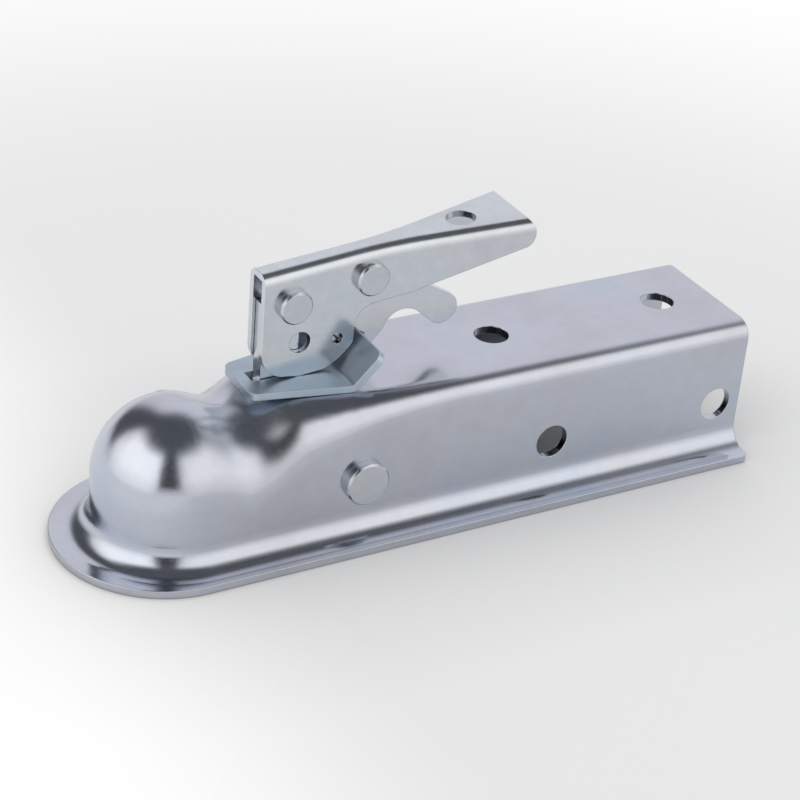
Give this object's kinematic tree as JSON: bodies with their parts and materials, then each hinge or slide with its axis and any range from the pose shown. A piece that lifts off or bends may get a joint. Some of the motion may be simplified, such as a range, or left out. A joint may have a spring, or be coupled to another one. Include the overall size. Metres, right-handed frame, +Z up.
{
  "type": "trailer coupling head",
  "caption": "Straight-tongue trailer coupling head: a pressed ball dome and bolt-on channel, with an under-ball clamp drawn up by an over-centre lever and its sprung trigger.",
  "frame": {"origin": "on the underside of the flange, in the middle of the length and width", "axes": "+X back along the trailer tongue, +Z up, the ball dome at -X"},
  "size_m": [0.2636, 0.0794, 0.1052],
  "materials": {
    "zinc_pressing": "bright zinc electroplate with a clear blue passivate, satin",
    "zinc_stamping": "bright zinc electroplate, satin",
    "zinc_rivet": "zinc plated, flat-topped heads",
    "zinc_forging": "zinc plated forging",
    "spring_wire": "drawn wire"
  },
  "bodies": {
    "base": {"coupler_body": "zinc_pressing", "latch_plate": "zinc_stamping", "clamp_rivet": "zinc_rivet", "clamp_spacer_left": "zinc_forging", "clamp_spacer_right": "zinc_forging"},
    "strap": {"draw_strap": "zinc_stamping"},
    "lever": {"lever": "zinc_stamping", "lever_rivet": "zinc_rivet", "trigger_rivet": "zinc_rivet", "trigger_spring": "spring_wire"},
    "trigger": {"trigger": "zinc_stamping"},
    "clamp": {"ball_clamp": "zinc_forging", "strap_pin": "zinc_rivet"}
  },
  "joints": [
    {"name": "strap_draw", "type": "slide", "parent": "base", "child": "strap", "axis": [0, 0, -1], "range_m": [0, 0.0045]},
    {"name": "lever_swing", "type": "hinge", "parent": "strap", "child": "lever", "pos_m": [-0.04875, 0, 0.08427], "axis": [0, -1, 0], "range_deg": [0, 75]},
    {"name": "trigger_pull", "type": "hinge", "parent": "lever", "child": "trigger", "pos_m": [-0.01975, 0, 0.08972], "axis": [0, -1, 0], "range_deg": [0, 14], "stiffness_Nm_per_rad": 0.05, "springref_deg": -28.65},
    {"name": "clamp_swing", "type": "hinge", "parent": "base", "child": "clamp", "pos_m": [-0.02915, 0, 0.0232], "axis": [0, -1, 0], "range_deg": [0, 11.73]}
  ],
  "couplings": [
    {"joint": "strap_draw", "follows": "lever_swing", "m_per_rad": 0.0034377},
    {"joint": "clamp_swing", "follows": "lever_swing", "ratio": 0.15643}
  ]
}
